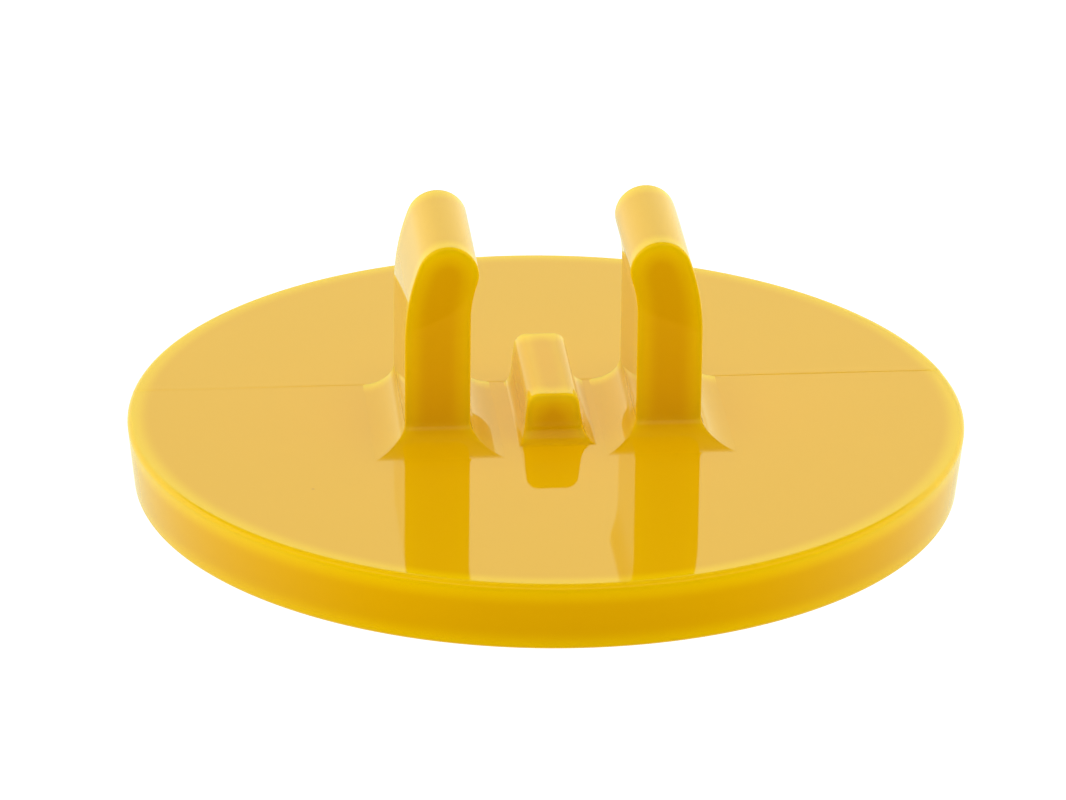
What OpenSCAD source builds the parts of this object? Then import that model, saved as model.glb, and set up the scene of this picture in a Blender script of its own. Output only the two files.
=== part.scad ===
// Clip-on disc: a round moulded disc that snaps onto a narrow bar.
// Millimetres. Origin at the centre of the underside, +Z up.
// X runs across the clip, from arm to arm. Y runs along the clip channel.

/* [Disc] */
// Diameter at the top edge, before the edge is rounded
disc_d = 40; // [36:0.5:60]
// Thickness
disc_t = 3.35; // [2.5:0.05:5]
// How far the rim leans in towards the underside, on the radius
rim_draft = 0.3; // [0.1:0.05:0.5]
// Radius of the rounded top and bottom edges of the rim
rim_round = 0.25; // [0.1:0.05:0.5]

/* [Clip] */
// Gap between the straight inner faces of the arms
clip_gap = 7.85; // [7:0.05:10]
// Gap between the noses of the hooks
hook_gap = 7.1; // [6.4:0.05:9.5]
// Length of the arms and the peg along the channel
clip_len = 7.5; // [6:0.5:12]
// Thickness of an arm
arm_t = 3.1; // [3:0.05:3.6]
// Height of the arms above the disc
arm_h = 10; // [9:0.5:14]
// Radius of the rounded head of an arm
head_r = 1.45; // [1.3:0.05:1.45]
// Height above the disc at which the inner face starts to flare into the hook
flare_z = 6.3; // [4:0.1:6.5]
// Height above the disc at which the outer face starts to curve inwards
shoulder_z = 5.4; // [4:0.1:6]
// Radius of the fillet round the foot of an arm
foot_r = 1.4; // [0.8:0.1:1.6]

/* [Peg] */
// Width of the peg across the channel
peg_w = 2.65; // [2:0.05:3]
// Height of the peg above the disc
peg_h = 2.45; // [1.5:0.05:3.5]
// Radius along the two long top edges of the peg
peg_round = 0.5; // [0.2:0.05:0.8]
// Radius of the fillet round the foot of the peg
peg_foot_r = 0.6; // [0.3:0.05:0.6]

/* [Hidden] */
$fn = 96;

plastic = "#e6a800";
arc_steps = 8;
half_len = clip_len / 2;
arm_in = clip_gap / 2;
arm_out = arm_in + arm_t;

// The round head sits with its nose on the hook gap and its crown at full height.
head_x = hook_gap / 2 + head_r;
head_z = arm_h - head_r;

// Outer shoulder: an arc that leaves the straight outer face and ends tangent to the head.
shoulder_rise = head_z - shoulder_z;
shoulder_run = arm_out - head_x;
shoulder_r = (pow(shoulder_rise, 2) + pow(shoulder_run, 2) - pow(head_r, 2)) / (2 * (shoulder_run - head_r));
shoulder_angle = atan2(shoulder_rise, head_x - arm_out + shoulder_r);

// Inner flare: an arc that leaves the straight inner face and runs tangent into the nose.
flare_rise = head_z - flare_z;
flare_run = head_x - arm_in;
flare_r = (pow(flare_run, 2) + pow(flare_rise, 2) - pow(head_r, 2)) / (2 * (head_r - flare_run));
flare_angle = atan2(flare_rise, flare_run + flare_r);

// Points on an arc, from angle a to angle b.
function arc(x, y, r, a, b, steps = arc_steps) =
    [for (i = [0:steps]) let (t = a + (b - a) * i / steps) [x + r * cos(t), y + r * sin(t)]];

// Outline of a whole arm above the disc, in the XZ plane, on the +X side.
arm_outline = concat(
    [[arm_in, 0], [arm_out, 0]],
    arc(arm_out - shoulder_r, shoulder_z, shoulder_r, 0, shoulder_angle),
    arc(head_x, head_z, head_r, shoulder_angle, 180 + flare_angle, 3 * arc_steps),
    arc(arm_in - flare_r, flare_z, flare_r, flare_angle, 0)
);

// Outline of the disc from its axis to its rim. The rim leans in by the draft.
rim_angle = atan2(rim_draft, disc_t);
rim_setback = rim_round * (1 + sin(rim_angle)) / cos(rim_angle);
rim_setback_low = rim_round * (1 - sin(rim_angle)) / cos(rim_angle);
disc_outline = concat(
    [[0, 0]],
    arc(disc_d / 2 - rim_draft - rim_setback_low, rim_round, rim_round, -90, -rim_angle),
    arc(disc_d / 2 - rim_setback, disc_t - rim_round, rim_round, -rim_angle, 90),
    [[0, disc_t]]
);

// Stands a flat outline up in the XZ plane on the disc and runs it along the channel.
module along_channel(from_y, to_y) {
    translate([0, to_y, disc_t]) rotate([90, 0, 0]) linear_extrude(to_y - from_y) children();
}

// The same, in the YZ plane and across the channel.
module across_channel(from_x, to_x) {
    translate([from_x, 0, disc_t]) rotate([90, 0, 90]) linear_extrude(to_x - from_x) children();
}

// Section through a foot that flares by r at both sides, and stops at its top.
module flared_section(low, high, r) {
    difference() {
        translate([low - r, 0]) square([high - low + 2 * r, r]);
        for (x = [low - r, high + r]) translate([x, r]) circle(r);
    }
}

// Section through a foot along the channel: it flares at the front and stops square at the back.
module front_flared_section(r) {
    difference() {
        translate([-half_len - r, 0]) square([clip_len + r, r]);
        translate([-half_len - r, r]) circle(r);
    }
}

// Foot with fillets on three sides that meet in mitred corners.
module flared_foot(low, high, r) {
    intersection() {
        along_channel(-half_len - r, half_len) flared_section(low, high, r);
        across_channel(low - r, high + r) front_flared_section(r);
    }
}

// The slice of an arm between two heights above the disc.
module arm_slice(from_z, to_z) {
    along_channel(-half_len, half_len) intersection() {
        polygon(arm_outline);
        translate([0, from_z]) square([arm_out + 1, to_z - from_z]);
    }
}

module disc() {
    color(plastic) rotate_extrude() polygon(disc_outline);
}

module centre_peg() {
    crown = peg_w / 2 - peg_round;
    color(plastic) union() {
        flared_foot(-peg_w / 2, peg_w / 2, peg_foot_r);
        along_channel(-half_len, half_len) union() {
            translate([-peg_w / 2, 0]) square([peg_w, peg_h - peg_round]);
            translate([-crown, 0]) square([2 * crown, peg_h]);
            for (x = [-crown, crown]) translate([x, peg_h - peg_round]) circle(peg_round);
        }
    }
}

module right_foot() {
    color(plastic) flared_foot(arm_in, arm_out, foot_r);
}

module right_arm() {
    color(plastic) arm_slice(foot_r, flare_z);
}

module right_hook() {
    color(plastic) arm_slice(flare_z, arm_h);
}

module left_foot() {
    mirror([1, 0, 0]) right_foot();
}

module left_arm() {
    mirror([1, 0, 0]) right_arm();
}

module left_hook() {
    mirror([1, 0, 0]) right_hook();
}

disc();
centre_peg();
left_foot();
left_arm();
left_hook();
right_foot();
right_arm();
right_hook();
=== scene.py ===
"""Looks of the clip-on disc: one glossy, slightly translucent yellow moulding in a white studio."""

import math

import bmesh
import bpy
from mathutils import Matrix, Vector


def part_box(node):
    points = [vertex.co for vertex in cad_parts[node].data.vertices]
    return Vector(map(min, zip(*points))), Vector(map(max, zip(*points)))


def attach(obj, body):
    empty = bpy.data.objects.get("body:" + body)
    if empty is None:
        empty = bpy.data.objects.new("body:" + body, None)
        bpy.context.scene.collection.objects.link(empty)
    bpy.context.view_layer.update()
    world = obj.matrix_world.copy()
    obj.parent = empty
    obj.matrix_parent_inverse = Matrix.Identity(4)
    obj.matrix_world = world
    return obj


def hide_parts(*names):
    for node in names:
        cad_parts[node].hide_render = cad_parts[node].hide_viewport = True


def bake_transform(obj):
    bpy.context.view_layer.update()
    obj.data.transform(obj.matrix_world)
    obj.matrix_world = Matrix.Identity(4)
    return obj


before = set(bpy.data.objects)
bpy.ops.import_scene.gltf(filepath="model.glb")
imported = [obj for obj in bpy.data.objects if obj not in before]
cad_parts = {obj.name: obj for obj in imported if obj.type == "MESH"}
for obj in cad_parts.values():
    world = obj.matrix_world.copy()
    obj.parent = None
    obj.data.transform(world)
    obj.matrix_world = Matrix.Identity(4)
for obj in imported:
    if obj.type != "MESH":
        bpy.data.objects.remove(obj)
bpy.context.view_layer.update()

MM = 0.001

# ---- Sizes, from the CAD model where it has them ----
disc_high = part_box("disc")[1]
arm_low, arm_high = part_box("right_arm")
hook_low, hook_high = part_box("right_hook")
peg_low, peg_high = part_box("centre_peg")

DISC_R = disc_high.x
DISC_TOP = disc_high.z
RIM_DRAFT = 0.3 * MM
RIM_ROUND = 0.25 * MM
FRONT_Y = arm_low.y
BACK_Y = arm_high.y
ARM_IN = arm_low.x
ARM_OUT = arm_high.x
ARM_H = hook_high.z - DISC_TOP
NOSE_X = hook_low.x
FLARE_Z = hook_low.z - DISC_TOP
SHOULDER_Z = 5.4 * MM
HEAD_R = 1.45 * MM
PEG_H = peg_high.z - DISC_TOP
# Half the peg's width without its CAD fillet, which runs out as far at the sides as in front
PEG_HALF = peg_high.x - (FRONT_Y - peg_low.y)
PEG_ROUND = 0.6 * MM
PEG_TAPER = 0.08 * MM

# Fillets of the feet: how far they run out at the lower and the higher x and forward, and how high they rise
ARM_FOOT = (1.6 * MM, 1.6 * MM, 1.85 * MM, 1.15 * MM)
PEG_FOOT = (0.35 * MM, 0.75 * MM, 0.5 * MM, 1.3 * MM)

# Under the disc's surface every foot spreads and goes down, so that no thin edge or lower end shows.
SUNK = 1.4 * MM
FLANGE = 1.4 * MM
TAIL, TAIL_DROP = 0.4 * MM, 0.03 * MM
# A fillet stops this far round its quarter ellipse, just short of lying flat on the disc.
FOOT_END = math.radians(84)
FRONT_EDGE_R = 0.13 * MM
BACK_EDGE_R = 0.07 * MM
EDGE_STEPS = 4
SHARP_ANGLE = math.radians(35)

# The step at the parting line: its width, its height at mid-disc, how much higher it is at the right-hand
# rim, and how much it wavers
PART_WIDTH = 0.15 * MM
PART_STEP = 0.016 * MM
PART_RISE = 0.004 * MM
PART_WAVER = 0.002 * MM


# ---- Lofted uprights: arms and peg ----
def section(height, x, lean=0.0, spread=0.0, front_lean=0.0):
    """One side's edge of a level: its height above the disc and its x, with how far its wall leans back to
    face up, how far the front face stands forward of FRONT_Y, and how far that face leans back."""
    return {"z": height, "x": x, "lean": lean, "spread": spread, "front_lean": front_lean}


def edge_path(s, side):
    """Points from the back face to the front face at one level, on the inner (-1) or outer (+1) side."""
    wall = Vector((side * math.cos(s["lean"]), 0, math.sin(s["lean"])))
    front = Vector((0, -math.cos(s["front_lean"]), math.sin(s["front_lean"])))
    ends = (
        (BACK_Y, Vector((0, 1, 0)), BACK_EDGE_R),
        (FRONT_Y - s["spread"], front, FRONT_EDGE_R),
    )
    path = []
    for y, face, radius in ends:
        corner = Vector((s["x"], y, DISC_TOP + s["z"]))
        centre = corner - (wall + face) * (radius / (1 + wall.dot(face)))
        arc = []
        for i in range(EDGE_STEPS + 1):
            mixed = wall.slerp(face, i / EDGE_STEPS) if wall.angle(face) > 0.001 else wall
            arc.append(centre + mixed * radius)
        path += arc if path else arc[::-1]
    return path


def loft(name, levels):
    """A closed upright through the inner and the outer section of each level, from the bottom up."""
    bm = bmesh.new()
    rings = []
    for inner, outer in levels:
        points = edge_path(inner, -1) + edge_path(outer, 1)[::-1]
        rings.append([bm.verts.new(p) for p in points])
    count = len(rings[0])
    half = count // 2
    for low, high in zip(rings, rings[1:]):
        for i in range(count):
            j = (i + 1) % count
            bm.faces.new((low[i], low[j], high[j], high[i]))
    top = rings[-1]
    for i in range(half - 1):
        bm.faces.new((top[i], top[i + 1], top[count - 2 - i], top[count - 1 - i]))
    bm.faces.new(rings[0][::-1])
    bmesh.ops.remove_doubles(bm, verts=bm.verts, dist=0.002 * MM)
    bmesh.ops.dissolve_degenerate(bm, edges=bm.edges, dist=0.001 * MM)
    bmesh.ops.recalc_face_normals(bm, faces=bm.faces)
    return finished(name, bm)


def finished(name, bm):
    """Turns a bmesh into an object with smooth faces, whose flat faces stay flat."""
    mesh = bpy.data.meshes.new(name)
    bm.to_mesh(mesh)
    bm.free()
    for face in mesh.polygons:
        face.use_smooth = True
    mesh.set_sharp_from_angle(angle=SHARP_ANGLE)
    piece = bpy.data.objects.new(name, mesh)
    bpy.context.scene.collection.objects.link(piece)
    weighted = piece.modifiers.new("flat faces stay flat", "WEIGHTED_NORMAL")
    weighted.keep_sharp = True
    weighted.weight = 90
    return piece


def foot_levels(low_x, high_x, fillet, steps):
    """The sunk flange and the fillet of a foot, as pairs of sections."""
    low_run, high_run, ahead, rise = fillet

    def pair(height, turn, extra=0.0):
        out = 1 - math.cos(turn)
        low_lean, high_lean, front_lean = (
            0 if extra else math.atan2(run * math.sin(turn), rise * math.cos(turn))
            for run in (low_run, high_run, ahead)
        )
        front = ahead * out + extra
        return (section(height, low_x - low_run * out - extra, low_lean, front, front_lean),
                section(height, high_x + high_run * out + extra, high_lean, front, front_lean))

    levels = [pair(-SUNK, FOOT_END, TAIL + FLANGE), pair(-TAIL_DROP, FOOT_END, TAIL + FLANGE),
              pair(-TAIL_DROP, FOOT_END, TAIL)]
    for i in range(steps):
        turn = FOOT_END * (1 - i / steps)
        levels.append(pair(rise * (1 - math.sin(turn)), turn))
    return levels


def arm_levels():
    """Sections of a right-hand arm: foot, straight part, hook inside and shoulder outside."""
    head_x = NOSE_X + HEAD_R
    head_z = ARM_H - HEAD_R
    run, rise = ARM_OUT - head_x, head_z - SHOULDER_Z
    shoulder_r = (rise ** 2 + run ** 2 - HEAD_R ** 2) / (2 * (run - HEAD_R))
    shoulder_end = head_z + HEAD_R * rise / (shoulder_r - HEAD_R)
    run, rise = head_x - ARM_IN, head_z - FLARE_Z
    flare_r = (run ** 2 + rise ** 2 - HEAD_R ** 2) / (2 * (HEAD_R - run))
    flare_end = head_z - HEAD_R * rise / (flare_r + HEAD_R)

    def inner(z):
        if z <= FLARE_Z:
            return section(z, ARM_IN)
        if z < flare_end:
            lean = math.asin((z - FLARE_Z) / flare_r)
            return section(z, ARM_IN - flare_r * (1 - math.cos(lean)), -lean)
        lean = math.asin(min(1, (z - head_z) / HEAD_R))
        return section(z, head_x - HEAD_R * math.cos(lean), lean)

    def outer(z):
        if z <= SHOULDER_Z:
            return section(z, ARM_OUT)
        if z < shoulder_end:
            lean = math.asin((z - SHOULDER_Z) / shoulder_r)
            return section(z, ARM_OUT - shoulder_r * (1 - math.cos(lean)), lean)
        lean = math.asin(min(1, (z - head_z) / HEAD_R))
        return section(z, head_x + HEAD_R * math.cos(lean), lean)

    straight_steps, curved_steps, head_steps = 8, 22, 22
    foot_top = ARM_FOOT[-1]
    heights = [foot_top + (SHOULDER_Z - foot_top) * i / straight_steps for i in range(straight_steps)]
    heights += [SHOULDER_Z + (flare_end - SHOULDER_Z) * i / curved_steps for i in range(curved_steps)]
    first = math.asin((flare_end - head_z) / HEAD_R)
    for i in range(head_steps + 1):
        heights.append(head_z + HEAD_R * math.sin(first + (math.pi / 2 - first) * i / head_steps))
    return foot_levels(ARM_IN, ARM_OUT, ARM_FOOT, steps=20) + [(inner(z), outer(z)) for z in heights]


def peg_levels():
    """Sections of the centre peg: foot, walls that draw in a little, and rounded long top edges."""
    levels = foot_levels(-PEG_HALF, PEG_HALF, PEG_FOOT, steps=14)
    wall_top = PEG_H - PEG_ROUND
    steps = 10
    for i in range(steps + 1):
        lean = math.pi / 2 * i / steps
        height = wall_top + PEG_ROUND * math.sin(lean)
        x = PEG_HALF - PEG_TAPER - PEG_ROUND * (1 - math.cos(lean))
        levels.append((section(height, -x, lean), section(height, x, lean)))
    return levels


def mirrored(piece, name):
    """A copy of a piece, mirrored to the other side of the clip."""
    bm = bmesh.new()
    bm.from_mesh(piece.data)
    bmesh.ops.transform(bm, matrix=Matrix.Scale(-1, 4, (1, 0, 0)), verts=bm.verts)
    bmesh.ops.reverse_faces(bm, faces=bm.faces)
    return finished(name, bm)


# ---- The disc ----
def rim_profile():
    """The disc's outline in the half plane through its axis, from the underside up to the top."""
    lean = math.atan2(RIM_DRAFT, DISC_TOP)
    steps = 6
    corners = (
        (DISC_R - RIM_ROUND - RIM_DRAFT, RIM_ROUND, -math.pi / 2, -lean),
        (DISC_R - RIM_ROUND, DISC_TOP - RIM_ROUND, -lean, math.pi / 2),
    )
    profile = []
    for r, z, start, end in corners:
        for i in range(steps + 1):
            angle = start + (end - start) * i / steps
            profile.append((r + RIM_ROUND * math.cos(angle), z + RIM_ROUND * math.sin(angle)))
    return profile


def disc_mesh(name):
    """The round plate, with the fine witness line of the mould's parting plane across it."""
    bm = bmesh.new()
    turns = 288
    profile = rim_profile()
    rings = []
    for r, z in profile:
        rings.append([bm.verts.new((r * math.cos(a), r * math.sin(a), z))
                      for a in (2 * math.pi * i / turns for i in range(turns))])
    for low, high in zip(rings, rings[1:]):
        for i in range(turns):
            j = (i + 1) % turns
            bm.faces.new((low[i], low[j], high[j], high[i]))
    bm.faces.new(rings[0][::-1])
    bm.faces.new(rings[-1])
    cut_parting_line(bm)
    return finished(name, bm)


def cut_parting_line(bm):
    """Where the mould's halves met, the top steps up a hair towards the back, the more so to the right."""
    strips = 3
    for i in range(strips + 1):
        geometry = bm.verts[:] + bm.edges[:] + bm.faces[:]
        bmesh.ops.bisect_plane(bm, geom=geometry, dist=1e-7,
                               plane_co=(0, BACK_Y - PART_WIDTH * i / strips, 0), plane_no=(0, 1, 0))
    long_edges = [e for e in bm.edges if e.calc_length() > DISC_R and e.verts[0].co.z > DISC_TOP / 2]
    bmesh.ops.subdivide_edges(bm, edges=long_edges, cuts=96, use_grid_fill=True)
    for v in bm.verts:
        if v.co.z > DISC_TOP / 2:
            along = v.co.x / DISC_R
            height = PART_STEP + PART_RISE * along + PART_WAVER * math.sin(11 * along + 1)
            v.co.z += height * min(1, max(0, (v.co.y - BACK_Y) / PART_WIDTH + 1))


# ---- Material ----
# The plastic's colour painted along its thin edges as a glow of light soaking through, the plastic where it
# is thick, and its specks
LEMON_GLOW = (0.78, 0.56, 0.0, 1)
ORANGE = (0.62, 0.347, 0.0, 1)
SPECK = (0.25, 0.10, 0.02, 1)

# How far light soaks round an edge, how thin counts as an edge for the painted glow, and how far the painted
# crevice shade reaches
SOAK = 0.9 * MM
THIN = 1.25 * MM
SHADE_REACH = 4 * MM


def linked(tree, kind, sockets=(), **settings):
    """Adds a node to a tree, with its settings, its fixed socket values and the links that feed it."""
    node = tree.nodes.new(kind)
    for key, value in settings.items():
        setattr(node, key, value)
    for socket, value in dict(sockets).items():
        if isinstance(value, bpy.types.NodeSocket):
            tree.links.new(value, node.inputs[socket])
        else:
            node.inputs[socket].default_value = value
    return node


def painted_edge_glow(tree):
    """The colour: a painted lemon glow along the thin edges, standing for light that soaks through them, and
    orange where the moulding is thick.
    """
    # Painted glow: the thinner the moulding under a point, the lighter and more lemon its colour.
    thick = linked(tree, "ShaderNodeAmbientOcclusion", {"Distance": THIN}, inside=True, only_local=True)
    tint = linked(tree, "ShaderNodeValToRGB", {"Fac": thick.outputs["AO"]})
    edge, core = tint.color_ramp.elements
    edge.position = 0.45
    edge.color = LEMON_GLOW
    core.position = 0.95
    core.color = ORANGE
    return tint.outputs["Color"]


def clouds_and_painted_shade(tree, place):
    """A factor for the colour: faint clouds, and painted shade that makes it a little darker in the crevices.
    """
    cloud = linked(tree, "ShaderNodeTexNoise", {"Vector": place, "Scale": 160, "Detail": 3})
    clouds = linked(tree, "ShaderNodeMapRange",
                    {"Value": cloud.outputs["Fac"], "To Min": 0.985, "To Max": 1.015})
    # Painted shade: up to a tenth darker where other surfaces are near, in crevices and between parts.
    crevice = linked(tree, "ShaderNodeAmbientOcclusion", {"Distance": SHADE_REACH})
    shade = linked(tree, "ShaderNodeMapRange",
                   {"Value": crevice.outputs["AO"], "From Min": 0.5, "To Min": 0.9, "To Max": 1.0})
    both = linked(tree, "ShaderNodeMath", {0: clouds.outputs["Result"], 1: shade.outputs["Result"]},
                  operation="MULTIPLY")
    return both.outputs["Value"]


def speckled(tree, place, colour):
    """The colour with a few tiny dark specks, one in about a tenth of the cells of a random pattern."""
    cells = linked(tree, "ShaderNodeTexVoronoi", {"Vector": place, "Scale": 260})
    fleck = linked(tree, "ShaderNodeMapRange",
                   {"Value": cells.outputs["Distance"], "From Min": 0.015, "From Max": 0.03,
                    "To Min": 0.35, "To Max": 0.0})
    chosen = linked(tree, "ShaderNodeSeparateColor", {"Color": cells.outputs["Color"]})
    few = linked(tree, "ShaderNodeMath", {0: chosen.outputs["Red"], 1: 0.9}, operation="GREATER_THAN")
    amount = linked(tree, "ShaderNodeMath", {0: fleck.outputs["Result"], 1: few.outputs["Value"]},
                    operation="MULTIPLY")
    mix = linked(tree, "ShaderNodeMix", {"Factor": amount.outputs["Value"], "A": colour, "B": SPECK},
                 data_type="RGBA")
    return mix.outputs["Result"]


def smudged_roughness(tree, place):
    """Small uneven patches that are a little less smooth."""
    smudge = linked(tree, "ShaderNodeTexNoise", {"Vector": place, "Scale": 420, "Detail": 4})
    rough = linked(tree, "ShaderNodeMapRange",
                   {"Value": smudge.outputs["Fac"], "From Min": 0.35, "From Max": 0.75,
                    "To Min": 0.03, "To Max": 0.07})
    return rough.outputs["Result"]


def rippled_normal(tree, place):
    """The gloss's normal, with the faint ripple of a moulded surface."""
    ripple = linked(tree, "ShaderNodeTexNoise", {"Vector": place, "Scale": 220, "Detail": 2})
    bump = linked(tree, "ShaderNodeBump",
                  {"Height": ripple.outputs["Fac"], "Strength": 0.25, "Distance": 0.008 * MM})
    return bump.outputs["Normal"]


def moulded_plastic(name):
    """Glossy yellow plastic: a colour shaded as if light soaked round the edges, with painted glow and shade,
    under a clear gloss.
    """
    material = bpy.data.materials.new(name)
    material.use_nodes = True
    tree = material.node_tree
    shader = tree.nodes["Principled BSDF"]
    shader.inputs["Specular IOR Level"].default_value = 0.0
    shader.inputs["Coat Weight"].default_value = 1.0
    shader.inputs["Coat IOR"].default_value = 1.5
    shader.inputs["Coat Roughness"].default_value = 0.04

    place = tree.nodes.new("ShaderNodeTexCoord").outputs["Object"]
    soaked = linked(tree, "ShaderNodeBevel", {"Radius": SOAK}, samples=8)
    # The colour multiplies the painted edge glow by the clouds and the painted crevice shade.
    colour = linked(tree, "ShaderNodeMix",
                    {"Factor": 1.0, "A": painted_edge_glow(tree), "B": clouds_and_painted_shade(tree, place)},
                    data_type="RGBA", blend_type="MULTIPLY")
    tree.links.new(soaked.outputs["Normal"], shader.inputs["Normal"])
    tree.links.new(speckled(tree, place, colour.outputs["Result"]), shader.inputs["Base Color"])
    tree.links.new(smudged_roughness(tree, place), shader.inputs["Roughness"])
    tree.links.new(rippled_normal(tree, place), shader.inputs["Coat Normal"])
    return material


# ---- Pieces ----
plastic = moulded_plastic("glossy_yellow_plastic")

disc = disc_mesh("round_disc")
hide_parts("disc")
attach(disc, "base")

peg = loft("locating_peg", peg_levels())
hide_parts("centre_peg")
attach(peg, "base")

right_clip = loft("right_snap_arm", arm_levels())
left_clip = mirrored(right_clip, "left_snap_arm")
for side, clip, x in (("left", left_clip, -ARM_OUT), ("right", right_clip, ARM_OUT)):
    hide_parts(side + "_foot", side + "_arm", side + "_hook")
    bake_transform(clip)

for piece in (disc, peg, left_clip, right_clip):
    piece.data.materials.append(plastic)


# ---- Studio ----
FLOOR_R = 3.0
# The floor is a hair below the disc, so that the two surfaces don't coincide.
FLOOR_DROP = 0.02 * MM


def floor():
    """A plain pale floor that runs on into the white background."""
    material = bpy.data.materials.new("pale_floor")
    material.use_nodes = True
    shader = material.node_tree.nodes["Principled BSDF"]
    shader.inputs["Base Color"].default_value = (0.35, 0.35, 0.35, 1)
    shader.inputs["Roughness"].default_value = 0.9
    shader.inputs["Emission Color"].default_value = (1, 1, 1, 1)
    shader.inputs["Emission Strength"].default_value = 0.8
    shader.inputs["Specular IOR Level"].default_value = 0.0
    bm = bmesh.new()
    bmesh.ops.create_circle(bm, cap_ends=True, radius=FLOOR_R, segments=96)
    mesh = bpy.data.meshes.new("floor")
    bm.to_mesh(mesh)
    bm.free()
    plane = bpy.data.objects.new("floor", mesh)
    bpy.context.scene.collection.objects.link(plane)
    plane.location.z = -FLOOR_DROP
    mesh.materials.append(material)
    plane.visible_glossy = False


def soft_light(name, place, size, power, colour=(1.0, 1.0, 1.0)):
    """A square soft box that faces the disc. The gloss doesn't mirror it. It casts no shadow, which stands
    for the light that the plastic lets through to its shaded sides."""
    data = bpy.data.lights.new(name, "AREA")
    data.shape = "SQUARE"
    data.size = size
    data.energy = power
    data.color = colour
    data.use_shadow = False
    lamp = bpy.data.objects.new(name, data)
    bpy.context.scene.collection.objects.link(lamp)
    lamp.location = place
    aim = Vector((0, 0, DISC_TOP)) - lamp.location
    lamp.rotation_euler = aim.to_track_quat("-Z", "Y").to_euler()
    lamp.visible_glossy = False


def white_surround():
    """Soft light from all round, a little warmer and dimmer in front. The gloss mirrors only a pale
    yellow backdrop, brightest behind, and the camera sees plain white."""
    world = bpy.data.worlds.new("white_surround")
    bpy.context.scene.world = world
    world.use_nodes = True
    tree = world.node_tree
    direction = tree.nodes.new("ShaderNodeTexCoord").outputs["Generated"]
    axes = linked(tree, "ShaderNodeSeparateXYZ", {"Vector": direction})

    def ramp(axis, low, high, low_value=0.0, high_value=1.0):
        node = linked(tree, "ShaderNodeMapRange",
                      {"Value": axes.outputs[axis], "From Min": low, "From Max": high,
                       "To Min": low_value, "To Max": high_value}, interpolation_type="SMOOTHSTEP")
        return node.outputs["Result"]

    def combined(operation, a, b):
        return linked(tree, "ShaderNodeMath", {0: a, 1: b}, operation=operation).outputs["Value"]

    def mixed(factor, a, b):
        return linked(tree, "ShaderNodeMixShader", {"Fac": factor, 1: a, 2: b}).outputs["Shader"]

    fill_colour = linked(tree, "ShaderNodeMix",
                         {"Factor": ramp("Y", -1.0, 0.2), "A": (1.0, 0.85, 0.8, 1), "B": (1.0, 1.0, 1.0, 1)},
                         data_type="RGBA")
    fill = tree.nodes["Background"]
    tree.links.new(fill_colour.outputs["Result"], fill.inputs["Color"])
    fill.inputs["Strength"].default_value = 0.5

    around = combined("MAXIMUM", ramp("Y", -0.6, 0.83), ramp("Z", 0.0, 0.2, 0.0, 0.3))
    upper = combined("MULTIPLY", around, ramp("Z", 0.5, 0.65, 1.3, 0.2))
    lower = combined("MULTIPLY", upper, ramp("Z", -0.4, -0.1, 0.75, 1.0))
    backdrop = linked(tree, "ShaderNodeBackground", {"Color": (1.0, 1.0, 0.68, 1), "Strength": lower})
    white = linked(tree, "ShaderNodeBackground", {"Color": (1.0, 1.0, 1.0, 1), "Strength": 1.0})
    path = tree.nodes.new("ShaderNodeLightPath")
    lit = mixed(path.outputs["Is Glossy Ray"], fill.outputs["Background"], backdrop.outputs["Background"])
    seen = mixed(path.outputs["Is Camera Ray"], lit, white.outputs["Background"])
    tree.links.new(seen, tree.nodes["World Output"].inputs["Surface"])


floor()
white_surround()
soft_light("left_soft_box", (-0.8, 0.05, 0.15), size=0.5, power=3.8)
soft_light("right_soft_box", (0.8, 0.05, 0.15), size=0.5, power=3.8)
soft_light("back_soft_box", (0.0, 1.0, 0.18), size=0.5, power=3.4)
soft_light("top_soft_box", (0.0, 0.02, 0.9), size=0.3, power=3.6)
soft_light("warm_front_soft_box", (-0.08, -1.0, 0.18), size=0.5, power=3.0, colour=(1.0, 0.72, 0.5))


# ---- Camera ----
def place_camera():
    """A long lens, a little to the left of the front and looking down at the disc."""
    aside, above, tilt = math.radians(5.32), math.radians(23.21), math.radians(-0.61)
    distance, shift_right, shift_up = 16 * DISC_R, 0.0312 * DISC_R, -0.0247 * DISC_R
    forward = Vector((math.sin(aside) * math.cos(above), math.cos(aside) * math.cos(above), -math.sin(above)))
    right = Vector((math.cos(aside), -math.sin(aside), 0))
    up = right.cross(forward)
    place = Vector((0, 0, DISC_TOP)) - forward * distance - right * shift_right - up * shift_up
    image_right = right * math.cos(tilt) - up * math.sin(tilt)
    image_up = right * math.sin(tilt) + up * math.cos(tilt)
    data = bpy.data.cameras.new("camera")
    data.sensor_width = 36
    data.lens = 225.9
    data.clip_start, data.clip_end = 0.01, 20
    camera = bpy.data.objects.new("camera", data)
    bpy.context.scene.collection.objects.link(camera)
    turn = Matrix((image_right, image_up, -forward)).transposed()
    camera.matrix_world = Matrix.Translation(place) @ turn.to_4x4()
    bpy.context.scene.camera = camera


place_camera()
bpy.context.scene.view_settings.view_transform = "Standard"
